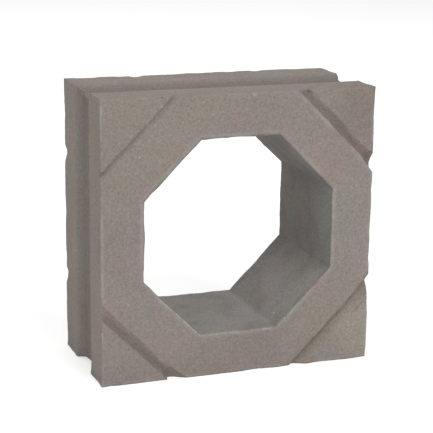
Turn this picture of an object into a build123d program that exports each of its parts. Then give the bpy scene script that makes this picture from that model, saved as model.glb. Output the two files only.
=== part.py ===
"""Concrete screen block with an eight-sided opening.

One casting. It stands on its bottom edge with its front face towards -Y, its width along X
and its height along Z. The origin is under the middle of the block, on the level that it
rests on. Sizes are in millimetres.
"""
import os

from build123d import *

# Overall size of the casting
block_width = 190.0
block_height = 190.0
block_depth = 90.0

# Eight-sided opening, straight through from front to back
opening_flats = 132.0
opening_sides = 8

# Mortar channel, which runs round the four narrow sides and is mitred at the corners
channel_mouth = 36.0
channel_floor = 12.0
channel_sink = 3.6
channel_blend = 5.0

# Grooves that cross the corners of the front and the back face at 45 degrees
groove_from_corner = 51.0
groove_mouth = 9.0
groove_floor = 1.6
groove_sink = 6.2
groove_blend = 1.0

# Rounding of the cast arrises
outer_round = 1.2
opening_round = 1.0

# Places worked out from the sizes
half_width = block_width / 2
half_depth = block_depth / 2
half_height = block_height / 2
groove_run = groove_from_corner + groove_mouth


def channelled_section(plane, length):
    """Depth by length, with the mortar channel let into both ends."""
    with BuildSketch(plane) as section:
        Rectangle(block_depth, length)
        for end in (-1, 1):
            rim = end * length / 2
            with BuildLine():
                Polyline(
                    (-channel_mouth / 2, rim),
                    (-channel_floor / 2, rim - end * channel_sink),
                    (channel_floor / 2, rim - end * channel_sink),
                    (channel_mouth / 2, rim),
                    close=True,
                )
            make_face(mode=Mode.SUBTRACT)
        across_depth = section.vertices().group_by(Axis(plane.origin, plane.x_dir))
        bends = [corner for group in across_depth[1:-1] for corner in group]
        fillet(bends, channel_blend)
    return section.sketch


def groove_section(side, across, up):
    """Section of one corner groove: side is -1 at the front, across and up pick the corner."""
    to_corner = Vector(across, 0, up).normalized()
    outwards = Vector(0, side, 0)
    middle = Vector(
        across * (half_width - groove_from_corner / 2),
        side * half_depth,
        half_height + up * (half_height - groove_from_corner / 2),
    )
    with BuildSketch(Plane(middle, x_dir=to_corner, z_dir=to_corner.cross(outwards))) as section:
        with BuildLine():
            Polyline(
                (-groove_mouth / 2, groove_sink),
                (-groove_mouth / 2, 0),
                (-groove_floor / 2, -groove_sink),
                (groove_floor / 2, -groove_sink),
                (groove_mouth / 2, 0),
                (groove_mouth / 2, groove_sink),
                close=True,
            )
        make_face()
        deepest = Axis(middle, outwards)
        fillet(section.vertices().group_by(deepest)[0], groove_blend)
    return section.sketch


with BuildPart() as breeze_block:
    # Two sections at right angles meet in the mitred channel: one makes it in the top and
    # the bottom, and the other in the left and the right side
    upright_plane = Plane((-half_width, 0, half_height), x_dir=(0, 1, 0), z_dir=(1, 0, 0))
    extrude(channelled_section(upright_plane, block_height), amount=block_width)
    level_plane = Plane((0, 0, 0), x_dir=(0, 1, 0), z_dir=(0, 0, 1))
    level_section = channelled_section(level_plane, block_width)
    extrude(level_section, amount=block_height, mode=Mode.INTERSECT)

    # Worn outer arrises: the rims of both faces and the four corners between them
    rims = breeze_block.faces().filter_by(Axis.Y).edges()
    corners = breeze_block.edges().filter_by(Axis.Y)
    fillet(rims + corners, outer_round)

    # The opening goes straight through, with a flat side at the top
    with BuildSketch(Plane.XZ.offset(-half_depth)):
        with Locations((0, half_height)):
            RegularPolygon(
                opening_flats / 2, opening_sides, major_radius=False, rotation=180 / opening_sides
            )
    extrude(amount=block_depth, mode=Mode.SUBTRACT)
    mouths = [face.inner_wires()[0].edges() for face in breeze_block.faces().filter_by(Axis.Y)]
    fillet(mouths[0] + mouths[1], opening_round)

    # Four grooves on each face
    for side in (-1, 1):
        for across in (-1, 1):
            for up in (-1, 1):
                groove = groove_section(side, across, up)
                extrude(groove, amount=groove_run, both=True, mode=Mode.SUBTRACT)

breeze_block.part.label = "breeze_block"

os.makedirs("parts", exist_ok=True)
export_step(breeze_block.part, "parts/breeze_block.step")
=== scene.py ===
from math import cos, pi, radians, sin

import bpy
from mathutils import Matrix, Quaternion, Vector


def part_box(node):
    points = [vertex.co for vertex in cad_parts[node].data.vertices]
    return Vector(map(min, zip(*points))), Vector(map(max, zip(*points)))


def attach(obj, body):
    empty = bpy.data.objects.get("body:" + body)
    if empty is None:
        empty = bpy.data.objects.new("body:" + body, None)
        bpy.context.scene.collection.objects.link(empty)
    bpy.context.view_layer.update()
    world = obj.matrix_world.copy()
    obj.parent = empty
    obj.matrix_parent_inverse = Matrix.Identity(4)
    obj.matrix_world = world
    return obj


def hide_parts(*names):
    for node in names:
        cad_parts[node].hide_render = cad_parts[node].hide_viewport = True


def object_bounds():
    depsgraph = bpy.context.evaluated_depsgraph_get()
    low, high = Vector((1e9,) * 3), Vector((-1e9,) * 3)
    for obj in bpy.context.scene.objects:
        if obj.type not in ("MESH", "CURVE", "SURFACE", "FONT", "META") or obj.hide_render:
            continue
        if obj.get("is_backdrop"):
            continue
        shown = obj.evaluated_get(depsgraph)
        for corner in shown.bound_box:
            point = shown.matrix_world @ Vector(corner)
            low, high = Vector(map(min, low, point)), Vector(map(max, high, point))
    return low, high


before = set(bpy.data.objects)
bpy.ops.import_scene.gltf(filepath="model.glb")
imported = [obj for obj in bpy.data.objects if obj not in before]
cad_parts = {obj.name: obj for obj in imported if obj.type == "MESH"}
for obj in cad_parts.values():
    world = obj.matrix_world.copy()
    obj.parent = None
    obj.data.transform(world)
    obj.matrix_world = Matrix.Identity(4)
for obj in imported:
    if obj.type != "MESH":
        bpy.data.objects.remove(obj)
cad_low, cad_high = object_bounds()
bpy.ops.object.select_all(action="DESELECT")

# The casting: one square block of fine, sandy concrete, pressed in a steel mould. The mould
# leaves the mortar channel round its four narrow sides, mitred at the corners, and crisp
# arrises that have worn and crumbled a little.
low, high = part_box("breeze_block")
middle = (low + high) / 2
size = high - low
channel_mouth = 0.036
channel_floor = 0.012
channel_sink = 0.0036
bpy.ops.mesh.primitive_cube_add(size=1, location=middle, scale=size)
block = bpy.context.object
block.name = "cast_block"
bpy.ops.object.transform_apply(location=True, rotation=True, scale=True)
bpy.ops.object.mode_set(mode="EDIT")
for y in (-channel_mouth / 2, -channel_floor / 2, channel_floor / 2, channel_mouth / 2):
    bpy.ops.mesh.select_all(action="SELECT")
    bpy.ops.mesh.bisect(plane_co=(0, y, 0), plane_no=(0, 1, 0))
bpy.ops.mesh.select_all(action="DESELECT")
bpy.ops.object.mode_set(mode="OBJECT")
for corner in block.data.vertices:
    corner.select = abs(corner.co.y) < 0.6 * channel_floor
bpy.ops.object.mode_set(mode="EDIT")
sunk = 1 - 2 * channel_sink / size.x
bpy.ops.transform.resize(value=(sunk, 1, sunk), center_override=middle)
bpy.ops.object.mode_set(mode="OBJECT")

# The core of the mould is longer than the block is deep, and leaves the eight-sided opening
# straight through it.
opening_flats = 0.132
core_length = 0.12
bpy.ops.mesh.primitive_cylinder_add(
    vertices=8,
    radius=opening_flats / 2 / cos(pi / 8),
    depth=core_length,
    location=middle,
    rotation=(pi / 2, pi / 8, 0),
)
cutters = [bpy.context.object]

# Bars in the mould press the grooves that cross the corners of both faces. Each groove has
# its own width at the mouth and the bottom and its own depth, leans a little, and runs out
# wider and deeper at its lower and its higher end, where the edge has broken away.
bar_length = 0.092
groove_place = 0.0695
flare_start = 0.026
grooves = (
    (-1, -1, 1, 0.0046, 0.0010, 0.0014, -0.0006, 1.5, 1.2),
    (-1, 1, 1, 0.0059, 0.0014, 0.0025, 0.0013, 3.0, 1.5),
    (-1, -1, -1, 0.0070, 0.0012, 0.0028, -0.0020, 2.5, 1.3),
    (-1, 1, -1, 0.0094, 0.0016, 0.0032, 0.0028, 1.0, 2.0),
    (1, 1, 1, 0.0060, 0.0016, 0.0028, 0.0006, 1.9, 1.5),
    (1, -1, 1, 0.0066, 0.0014, 0.0030, -0.0010, 2.0, 1.6),
    (1, 1, -1, 0.0064, 0.0020, 0.0028, 0.0000, 1.5, 2.0),
    (1, -1, -1, 0.0076, 0.0016, 0.0029, 0.0012, 1.8, 1.9),
)
for side, across, up, mouth, bottom, sink, lean, low_flare, high_flare in grooves:
    bpy.ops.mesh.primitive_cube_add(size=1, scale=(mouth, 2 * sink, bar_length))
    bar = bpy.context.object
    bpy.ops.object.transform_apply(scale=True)
    bpy.ops.object.mode_set(mode="EDIT")
    bpy.ops.mesh.bisect(plane_co=(0, 0, 0), plane_no=(0, 1, 0))
    for run in (-flare_start, flare_start):
        bpy.ops.mesh.select_all(action="SELECT")
        bpy.ops.mesh.bisect(plane_co=(0, 0, run), plane_no=(0, 0, 1))
    bpy.ops.mesh.select_all(action="DESELECT")
    bpy.ops.object.mode_set(mode="OBJECT")
    for corner in bar.data.vertices:
        corner.select = corner.co.y > sink / 2
    bpy.ops.object.mode_set(mode="EDIT")
    bpy.ops.transform.resize(value=(bottom / mouth, 1, 1), center_override=(0, 0, 0))
    bpy.ops.transform.translate(value=(side * across * lean, 0, 0))
    for end, flare in ((-1, low_flare), (1, high_flare)):
        bpy.ops.mesh.select_all(action="DESELECT")
        bpy.ops.object.mode_set(mode="OBJECT")
        for corner in bar.data.vertices:
            corner.select = end * corner.co.z > 0.4 * bar_length and corner.co.y > -sink / 2
        bpy.ops.object.mode_set(mode="EDIT")
        bpy.ops.transform.resize(value=(1 + (flare - 1) / 2, flare, 1), center_override=(0, 0, 0))
    bpy.ops.object.mode_set(mode="OBJECT")
    bar.rotation_euler = (0, side * across * up * pi / 4, pi if side > 0 else 0)
    bar.location = (across * groove_place, side * size.y / 2, middle.z + up * groove_place)
    cutters.append(bar)

for cutter in cutters:
    bpy.ops.object.select_all(action="DESELECT")
    bpy.context.view_layer.objects.active = block
    block.select_set(True)
    cut = block.modifiers.new("cut", "BOOLEAN")
    cut.operation = "DIFFERENCE"
    cut.solver = "EXACT"
    cut.object = cutter
    bpy.ops.object.modifier_apply(modifier="cut")
    bpy.data.objects.remove(cutter)

even = block.modifiers.new("even", "REMESH")
even.mode = "SHARP"
even.octree_depth = 7
even.scale = 0.99
even.sharpness = 1.0
even.use_remove_disconnected = False
bpy.ops.object.modifier_apply(modifier="even")

# Wear along the arrises, which are picked by their angle: they crumble inwards by up to
# 0.2 mm, and in places a chip of up to 0.6 mm is out. All over, the surface is sandy and a
# little uneven.
bpy.ops.object.mode_set(mode="EDIT")
bpy.ops.mesh.select_all(action="DESELECT")
bpy.ops.mesh.select_mode(type="EDGE")
bpy.ops.mesh.edges_select_sharp(sharpness=radians(20))
bpy.ops.mesh.select_mode(type="VERT")
bpy.ops.object.vertex_group_add()
bpy.ops.object.vertex_group_assign()
bpy.ops.object.mode_set(mode="OBJECT")
block.vertex_groups[0].name = "arris"

crumble = bpy.data.textures.new("crumble", "CLOUDS")
crumble.noise_scale = 0.0045
crumble.noise_depth = 2
crumble.contrast = 2.2
crumble.intensity = 0.9
chips = bpy.data.textures.new("chips", "CLOUDS")
chips.noise_scale = 0.014
chips.noise_depth = 0
chips.contrast = 2.4
chips.intensity = 2.0
sandy = bpy.data.textures.new("sandy", "CLOUDS")
sandy.noise_scale = 0.0038
sandy.noise_depth = 1
uneven = bpy.data.textures.new("uneven", "CLOUDS")
uneven.noise_scale = 0.045
wear = (
    (uneven, 0.00035, ""),
    (sandy, 0.00020, ""),
    (crumble, 0.00022, "arris"),
    (chips, 0.0006, "arris"),
)
for texture, strength, group in wear:
    rough = block.modifiers.new("rough", "DISPLACE")
    rough.texture = texture
    rough.texture_coords = "LOCAL"
    rough.mid_level = 1.0
    rough.strength = strength
    rough.vertex_group = group
    bpy.ops.object.modifier_apply(modifier="rough")
for corner in block.data.vertices:
    corner.co = [min(max(at, least), most) for at, least, most in zip(corner.co, cad_low, cad_high)]
bpy.ops.object.shade_smooth()

# How open or hollow each spot is, kept on the mesh: dust and painted shade lie in the hollows,
# and the arrises are rubbed pale and carry a painted highlight.
hollows = block.data.color_attributes.new("hollows", "FLOAT_COLOR", "CORNER")
block.data.color_attributes.active_color = hollows
bpy.ops.paint.vertex_color_dirt(blur_iterations=2, dirt_angle=0, normalize=False)

# Concrete of grey cement and fine brown sand, faced smooth by the mould: sand grain, small
# open pores, soft pinkish, olive and grey patches, arrises pale with wear and a painted
# highlight, and hollows with dust and painted shade.
concrete = bpy.data.materials.new("cast_concrete")
concrete.use_nodes = True
nodes, links = concrete.node_tree.nodes, concrete.node_tree.links
shader = nodes["Principled BSDF"]
shader.inputs["Roughness"].default_value = 0.92
shader.inputs["Specular IOR Level"].default_value = 0.25
place = nodes.new("ShaderNodeTexCoord").outputs["Object"]


def grain(per_metre, detail, start, low, high):
    """Noise of so many waves a metre, from 0 at low to 1 at high."""
    shift = nodes.new("ShaderNodeVectorMath")
    shift.inputs[1].default_value = (start, start * 0.7, start * 1.3)
    links.new(place, shift.inputs[0])
    noise = nodes.new("ShaderNodeTexNoise")
    noise.inputs["Scale"].default_value = per_metre
    noise.inputs["Detail"].default_value = detail
    links.new(shift.outputs[0], noise.inputs["Vector"])
    spread = nodes.new("ShaderNodeMapRange")
    spread.inputs["From Min"].default_value = low
    spread.inputs["From Max"].default_value = high
    links.new(noise.outputs["Fac"], spread.inputs["Value"])
    return spread.outputs["Result"]


def specks(per_metre, start, small, large):
    """Round spots in random places, of mixed sizes: 1 inside and 0 outside."""
    shift = nodes.new("ShaderNodeVectorMath")
    shift.inputs[1].default_value = (start, start * 1.9, start * 0.6)
    links.new(place, shift.inputs[0])
    cells = nodes.new("ShaderNodeTexVoronoi")
    cells.inputs["Scale"].default_value = per_metre
    links.new(shift.outputs[0], cells.inputs["Vector"])
    pick = nodes.new("ShaderNodeSeparateColor")
    links.new(cells.outputs["Color"], pick.inputs["Color"])
    reach = nodes.new("ShaderNodeMapRange")
    reach.inputs["From Min"].default_value = 0.3
    reach.inputs["To Min"].default_value = small
    reach.inputs["To Max"].default_value = large
    links.new(pick.outputs["Red"], reach.inputs["Value"])
    edge = nodes.new("ShaderNodeMapRange")
    edge.interpolation_type = "SMOOTHSTEP"
    edge.inputs["From Min"].default_value = 0.0
    edge.inputs["To Min"].default_value = 1.0
    edge.inputs["To Max"].default_value = 0.0
    links.new(cells.outputs["Distance"], edge.inputs["Value"])
    links.new(reach.outputs["Result"], edge.inputs["From Max"])
    return edge.outputs["Result"]


def coat(under, colour, share, way="MIX", most=1.0):
    """Lays a colour over what is under it, as far as share says."""
    mix = nodes.new("ShaderNodeMix")
    mix.data_type = "RGBA"
    mix.blend_type = way
    mix.clamp_factor = True
    part = nodes.new("ShaderNodeMath")
    part.operation = "MULTIPLY"
    part.inputs[1].default_value = most
    links.new(share, part.inputs[0])
    links.new(part.outputs[0], mix.inputs["Factor"])
    if isinstance(under, tuple):
        mix.inputs["A"].default_value = (*under, 1)
    else:
        links.new(under, mix.inputs["A"])
    mix.inputs["B"].default_value = (*colour, 1)
    return mix.outputs["Result"]


buff = (0.304, 0.264, 0.238)
pinkish = (0.324, 0.268, 0.248)
olive = (0.291, 0.264, 0.216)
grey = (0.292, 0.273, 0.254)
dark_pore = (0.125, 0.108, 0.095)
pale_sand = (0.50, 0.47, 0.44)
dark_sand = (0.115, 0.100, 0.088)
colour = coat(buff, pinkish, grain(38, 2, 3.1, 0.44, 0.62))
colour = coat(colour, olive, grain(30, 2, 7.7, 0.48, 0.66), most=0.6)
colour = coat(colour, grey, grain(46, 2, 12.3, 0.50, 0.66), most=0.5)
colour = coat(colour, (0.90, 0.90, 0.90), grain(14, 1, 21.0, 0.40, 0.65), "MULTIPLY", 0.7)
colour = coat(colour, (0.79, 0.78, 0.77), grain(620, 2, 5.5, 0.35, 0.72), "MULTIPLY")
colour = coat(colour, (1.8, 1.8, 1.8), grain(760, 2, 9.5, 0.52, 0.80), "MULTIPLY", 0.36)
pores = specks(265, 0.4, 0.04, 0.17)
colour = coat(colour, dark_pore, pores, most=0.75)
colour = coat(colour, pale_sand, specks(330, 1.9, 0.02, 0.12), most=0.6)
colour = coat(colour, dark_sand, specks(105, 2.7, 0.03, 0.10), most=0.75)

# Where it lies tells how it has aged: the inner sides of the opening are greyer than the
# front, and so is a narrow ring round the opening at the back. The channel is coloured darker,
# hard up to its front edge and fading out towards the back, and a little darker still on top.
side_limit = 0.0865
opening_limit = 0.0735
front_limit = -0.0442
top_limit = 0.1815
darkening_reach = 0.025
parts = nodes.new("ShaderNodeSeparateXYZ")
links.new(place, parts.inputs[0])


def worked(operation, first, second=0.0):
    """One sum, on node outputs or plain numbers."""
    sum_node = nodes.new("ShaderNodeMath")
    sum_node.operation = operation
    for value, socket in zip((first, second), sum_node.inputs):
        if isinstance(value, float):
            socket.default_value = value
        else:
            links.new(value, socket)
    return sum_node.outputs[0]


def between(least, value, most):
    """1 where a value lies between two limits, and 0 elsewhere."""
    return worked("MULTIPLY", worked("GREATER_THAN", value, least), worked("LESS_THAN", value, most))


aside = worked("ABSOLUTE", parts.outputs["X"])
height = worked("SUBTRACT", parts.outputs["Z"], middle.z)
above = worked("ABSOLUTE", height)
outside = worked("GREATER_THAN", worked("MAXIMUM", aside, above), side_limit)
from_axis = worked("SQRT", worked("ADD", worked("POWER", aside, 2.0), worked("POWER", above, 2.0)))
back_of_face = worked("GREATER_THAN", parts.outputs["Y"], front_limit)
within = worked("MULTIPLY", worked("LESS_THAN", from_axis, opening_limit), back_of_face)
colour = coat(colour, (1.02, 1.11, 1.15), within, "MULTIPLY")
clouded = worked("MULTIPLY", within, grain(55, 3, 61.0, 0.46, 0.66))
colour = coat(colour, (0.86, 0.85, 0.85), clouded, "MULTIPLY")
along = nodes.new("ShaderNodeMapRange")
along.inputs["From Min"].default_value = -darkening_reach
along.inputs["From Max"].default_value = darkening_reach
links.new(parts.outputs["Y"], along.inputs["Value"])
channel_ramp = nodes.new("ShaderNodeValToRGB")
links.new(along.outputs["Result"], channel_ramp.inputs["Fac"])
stops = channel_ramp.color_ramp.elements
stops[0].position, stops[0].color = 0.125, (0, 0, 0, 1)
stops[1].position, stops[1].color = 0.150, (0.1, 0.1, 0.1, 1)
for position, level in ((0.34, 0.6), (0.50, 0.95), (0.62, 1.0), (0.76, 0.6), (0.88, 0.0)):
    stops.new(position).color = (level, level, level, 1)
darker_channel = worked("MULTIPLY", channel_ramp.outputs["Color"], outside)
colour = coat(colour, (0.72, 0.725, 0.73), darker_channel, "MULTIPLY")
on_top = worked("GREATER_THAN", parts.outputs["Z"], top_limit)
colour = coat(colour, (0.95, 0.95, 0.95), worked("MULTIPLY", darker_channel, on_top), "MULTIPLY")



def spot(x, y, z, radius):
    """A soft round spot at a place in millimetres: 1 inside and 0 outside."""
    apart = nodes.new("ShaderNodeVectorMath")
    apart.operation = "DISTANCE"
    apart.inputs[1].default_value = (x / 1000, y / 1000, z / 1000)
    links.new(place, apart.inputs[0])
    fade = nodes.new("ShaderNodeMapRange")
    fade.interpolation_type = "SMOOTHSTEP"
    fade.inputs["From Min"].default_value = radius / 1000
    fade.inputs["From Max"].default_value = radius / 3000
    links.new(apart.outputs["Value"], fade.inputs["Value"])
    return fade.outputs["Result"]


# Single marks, at X, Y and Z in millimetres, each with its radius and share: open pits are
# dark, and bare grains and fresh chips are pale. A dim streak crosses the top behind one
# groove. Broad, soft patches then tint three places without hiding their grain.
pit = (0.090, 0.078, 0.068)
chip = (0.56, 0.53, 0.50)
marks = (
    (22.3, -45.0, 186.0, 0.9, pit, 0.8),
    (30.8, -45.0, 185.0, 0.8, pit, 0.7),
    (-54.4, -45.0, 189.2, 0.9, pit, 0.8),
    (-78.0, -45.0, 61.9, 0.7, pit, 0.7),
    (-76.5, -45.0, 24.2, 0.8, pit, 0.7),
    (-49.5, -45.0, 38.4, 0.7, pit, 0.7),
    (74.8, -45.0, 185.9, 0.9, pit, 0.8),
    (45.1, -45.0, 2.2, 1.7, pit, 0.7),
    (8.5, -45.0, 188.6, 2.2, chip, 0.22),
    (-77.0, -45.0, 54.8, 0.8, chip, 0.6),
    (66.8, -44.5, 24.5, 1.2, chip, 0.6),
    (-54.4, -45.0, 183.3, 0.7, chip, 0.7),
    (-69.1, -45.0, 151.7, 0.8, chip, 0.7),
    (-83.1, -45.0, 150.6, 0.7, chip, 0.6),
    (32.0, -40.0, 33.7, 1.0, pit, 0.8),
    (33.5, -42.0, 35.2, 0.9, pit, 0.8),
    (34.5, -43.8, 36.2, 1.0, pit, 0.7),
    (32.0, -29.0, 33.7, 1.0, chip, 0.8),
    (13.5, -0.5, 29.0, 1.6, pit, 0.6),
    (2.0, -32.0, 29.0, 1.1, pit, 0.6),
    (-91.4, 1.4, 128.0, 1.2, pit, 0.7),
    (-91.4, -1.4, 114.0, 1.4, pit, 0.8),
    (-91.4, -1.0, 112.0, 1.1, pit, 0.6),
    (-91.4, -7.0, 63.0, 1.0, pit, 0.7),
    (46.5, -43.0, 190.0, 3.4, pit, 0.20),
    (50.5, -38.5, 190.0, 3.4, pit, 0.20),
    (54.5, -34.0, 190.0, 3.4, pit, 0.18),
    (58.5, -29.5, 190.0, 3.4, pit, 0.16),
    (62.5, -25.0, 190.0, 3.4, pit, 0.14),
)
patches = (
    (88.4, -45.0, 174.6, 30.0, (0.93, 0.90, 0.89)),
    (90.0, -45.0, 22.0, 30.0, (1.11, 1.16, 1.13)),
    (88.0, -45.0, 100.0, 45.0, (1.02, 1.09, 1.06)),
)
for x, y, z, radius, shade, most in marks:
    colour = coat(colour, shade, spot(x, y, z, radius), most=most)
for x, y, z, radius, shade in patches:
    colour = coat(colour, shade, spot(x, y, z, radius), "MULTIPLY")

# Dust lies in the grooves, which are what is sunk below a face between the opening and the
# outer rim.
face_level = 0.0448
dusty_level = 0.0432
deepest_level = 0.035
rim_limit = 0.0942
inset = worked("ABSOLUTE", parts.outputs["Y"])
sunk_in = nodes.new("ShaderNodeMapRange")
sunk_in.inputs["From Min"].default_value = face_level
sunk_in.inputs["From Max"].default_value = dusty_level
links.new(inset, sunk_in.inputs["Value"])
past_opening = worked("GREATER_THAN", from_axis, opening_limit)
inside_rim = worked("LESS_THAN", worked("MAXIMUM", aside, above), rim_limit)
ring = worked("MULTIPLY", past_opening, inside_rim)
dust = worked("MULTIPLY", sunk_in.outputs["Result"], ring)
dust = worked("MULTIPLY", dust, worked("GREATER_THAN", inset, deepest_level))
colour = coat(colour, (0.92, 0.90, 0.88), dust, "MULTIPLY")

# The open arrises are pale in broken lines, partly rubbed and partly a painted highlight. Those
# on the corner side of a groove stay dull, as does the other side of the grooves at the upper
# left and the lower right, and the topmost ones are dimmed.
far_from, far_to = 0.140, 0.152
near_from, near_to = 0.127, 0.1401
top_rim = 0.091
hollow = nodes.new("ShaderNodeVertexColor")
hollow.layer_name = "hollows"
openness = nodes.new("ShaderNodeSeparateColor")
links.new(hollow.outputs["Color"], openness.inputs["Color"])
pale = nodes.new("ShaderNodeMapRange")
pale.inputs["From Min"].default_value = 0.508
pale.inputs["From Max"].default_value = 0.56
links.new(openness.outputs["Red"], pale.inputs["Value"])
diagonal = worked("ADD", aside, above)
far_side = between(far_from, diagonal, far_to)
near_side = between(near_from, diagonal, near_to)
falling = worked("LESS_THAN", worked("MULTIPLY", parts.outputs["X"], height), 0.0)
dull = worked("ADD", far_side, worked("MULTIPLY", near_side, falling))
rubbed_and_highlit = worked("MULTIPLY", pale.outputs["Result"], grain(60, 3, 31.0, 0.32, 0.58))
rubbed_and_highlit = worked("MULTIPLY", rubbed_and_highlit, worked("SUBTRACT", 1.0, dull))
topmost = worked("MULTIPLY", worked("GREATER_THAN", height, top_rim), 0.75)
rubbed_and_highlit = worked("MULTIPLY", rubbed_and_highlit, worked("SUBTRACT", 1.0, topmost))
# Pale wear and painted highlight on the arrises.
colour = coat(colour, (0.46, 0.435, 0.405), rubbed_and_highlit, most=0.6)

# A painted highlight runs along the front arris of the opening at its lower left side and its
# bottom, broken into pale grain.
slope_place = 0.0937
slope_half_width = 0.0007
sill_place = 0.0663
sill_half_width = 0.0008
half_side = 0.027
off_slope = worked("ABSOLUTE", worked("SUBTRACT", diagonal, slope_place))
on_slope = worked("LESS_THAN", off_slope, slope_half_width)
at_front = worked("LESS_THAN", parts.outputs["Y"], -0.0438)
lit_slope_arris = worked("MULTIPLY", on_slope, at_front)
leftwards = worked("LESS_THAN", parts.outputs["X"], -half_side)
low_left = worked("MULTIPLY", leftwards, worked("LESS_THAN", height, -half_side))
lit_slope_arris = worked("MULTIPLY", lit_slope_arris, low_left)
lit_slope_arris = worked("MULTIPLY", lit_slope_arris, grain(180, 2, 44.0, 0.35, 0.60))
colour = coat(colour, (0.52, 0.50, 0.47), lit_slope_arris, most=0.8)
off_sill = worked("ABSOLUTE", worked("ADD", height, sill_place))
lit_sill_arris = worked("LESS_THAN", off_sill, sill_half_width)
lit_sill_arris = worked("MULTIPLY", lit_sill_arris, worked("LESS_THAN", aside, half_side))
lit_sill_arris = worked("MULTIPLY", lit_sill_arris, worked("LESS_THAN", parts.outputs["Y"], -0.0436))
lit_sill_arris = worked("MULTIPLY", lit_sill_arris, grain(240, 2, 52.0, 0.50, 0.62))
colour = coat(colour, (0.48, 0.46, 0.43), lit_sill_arris, most=0.45)

# More dust and painted shade lie in the hollows, and sand grain and pores catch the light.
dust_and_shade = nodes.new("ShaderNodeMapRange")
dust_and_shade.inputs["From Min"].default_value = 0.492
dust_and_shade.inputs["From Max"].default_value = 0.45
links.new(openness.outputs["Red"], dust_and_shade.inputs["Value"])
colour = coat(colour, (0.19, 0.160, 0.135), dust_and_shade.outputs["Result"], most=0.5)
links.new(colour, shader.inputs["Base Color"])

relief = nodes.new("ShaderNodeBump")
relief.inputs["Strength"].default_value = 0.8
relief.inputs["Distance"].default_value = 0.00025
links.new(grain(700, 3, 15.0, 0.2, 0.8), relief.inputs["Height"])
pits = nodes.new("ShaderNodeBump")
pits.invert = True
pits.inputs["Strength"].default_value = 0.8
pits.inputs["Distance"].default_value = 0.0005
links.new(pores, pits.inputs["Height"])
links.new(relief.outputs["Normal"], pits.inputs["Normal"])
links.new(pits.outputs["Normal"], shader.inputs["Normal"])

block.data.materials.clear()
block.data.materials.append(concrete)
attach(block, "root")
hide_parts("breeze_block")

# Floor of the photo studio: pale, and white where the camera sees it lit in full. The
# block's soft shadow stays on it.
bpy.ops.mesh.primitive_plane_add(size=30, location=(0, 0, 0))
floor = bpy.context.object
floor.name = "studio_floor"
paper = bpy.data.materials.new("white_paper")
paper.use_nodes = True
nodes, links = paper.node_tree.nodes, paper.node_tree.links
nodes.clear()
out = nodes.new("ShaderNodeOutputMaterial")
bounce = nodes.new("ShaderNodeBsdfDiffuse")
bounce.inputs["Color"].default_value = (0.92, 0.92, 0.92, 1)
seen = nodes.new("ShaderNodeBsdfDiffuse")
seen.inputs["Color"].default_value = (0.6, 0.6, 0.6, 1)
glow = nodes.new("ShaderNodeEmission")
glow.inputs["Strength"].default_value = 0.62
both = nodes.new("ShaderNodeAddShader")
links.new(seen.outputs[0], both.inputs[0])
links.new(glow.outputs[0], both.inputs[1])
path = nodes.new("ShaderNodeLightPath")
pick = nodes.new("ShaderNodeMixShader")
links.new(path.outputs["Is Camera Ray"], pick.inputs[0])
links.new(bounce.outputs[0], pick.inputs[1])
links.new(both.outputs[0], pick.inputs[2])
links.new(pick.outputs[0], out.inputs[0])
floor.data.materials.append(paper)
floor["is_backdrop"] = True

# Even light from all round. The camera alone sees it as pure white behind the block.
world = bpy.data.worlds.new("studio")
bpy.context.scene.world = world
world.use_nodes = True
nodes, links = world.node_tree.nodes, world.node_tree.links
nodes.clear()
out = nodes.new("ShaderNodeOutputWorld")
around = nodes.new("ShaderNodeBackground")
around.inputs["Color"].default_value = (1, 1, 1, 1)
around.inputs["Strength"].default_value = 0.41
behind = nodes.new("ShaderNodeBackground")
behind.inputs["Color"].default_value = (1, 1, 1, 1)
behind.inputs["Strength"].default_value = 1.0
path = nodes.new("ShaderNodeLightPath")
pick = nodes.new("ShaderNodeMixShader")
links.new(path.outputs["Is Camera Ray"], pick.inputs[0])
links.new(around.outputs[0], pick.inputs[1])
links.new(behind.outputs[0], pick.inputs[2])
links.new(pick.outputs[0], out.inputs[0])

# Three soft boxes: the key in front and above, a fill from the left, and one from behind.
lamps = (
    ((0.33, -1.52, 1.65), 0.8, 20.8),
    ((-1.64, -0.95, 1.19), 1.6, 10.0),
    ((0.00, 1.56, 1.65), 1.6, 10.4),
)
for position, width, power in lamps:
    bpy.ops.object.light_add(type="AREA", location=position)
    lamp = bpy.context.object
    lamp.data.shape = "SQUARE"
    lamp.data.size = width
    lamp.data.energy = power
    lamp.rotation_euler = (middle - lamp.location).to_track_quat("-Z", "Y").to_euler()

# The camera stands to the left of the block and above it, rolled a little. Its distance and
# target are in widths of the block, and its focal length is in pixels of the picture.
azimuth = radians(20.3)
elevation = radians(14.17)
roll = radians(0.72)
focal_pixels = 1433
picture_pixels = 433
distance = 4.92 * size.x
target = Vector((-0.0881 * size.x, -size.y / 2, middle.z + 0.0752 * size.x))
ahead = Vector((sin(azimuth) * cos(elevation), cos(azimuth) * cos(elevation), -sin(elevation)))
bpy.ops.object.camera_add(location=target - distance * ahead)
camera = bpy.context.object
camera.rotation_mode = "QUATERNION"
camera.rotation_quaternion = ahead.to_track_quat("-Z", "Y") @ Quaternion((0, 0, 1), roll)
camera.data.sensor_width = 36
camera.data.lens = focal_pixels / picture_pixels * camera.data.sensor_width
bpy.context.scene.camera = camera
bpy.context.scene.view_settings.view_transform = "Standard"

low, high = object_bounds()
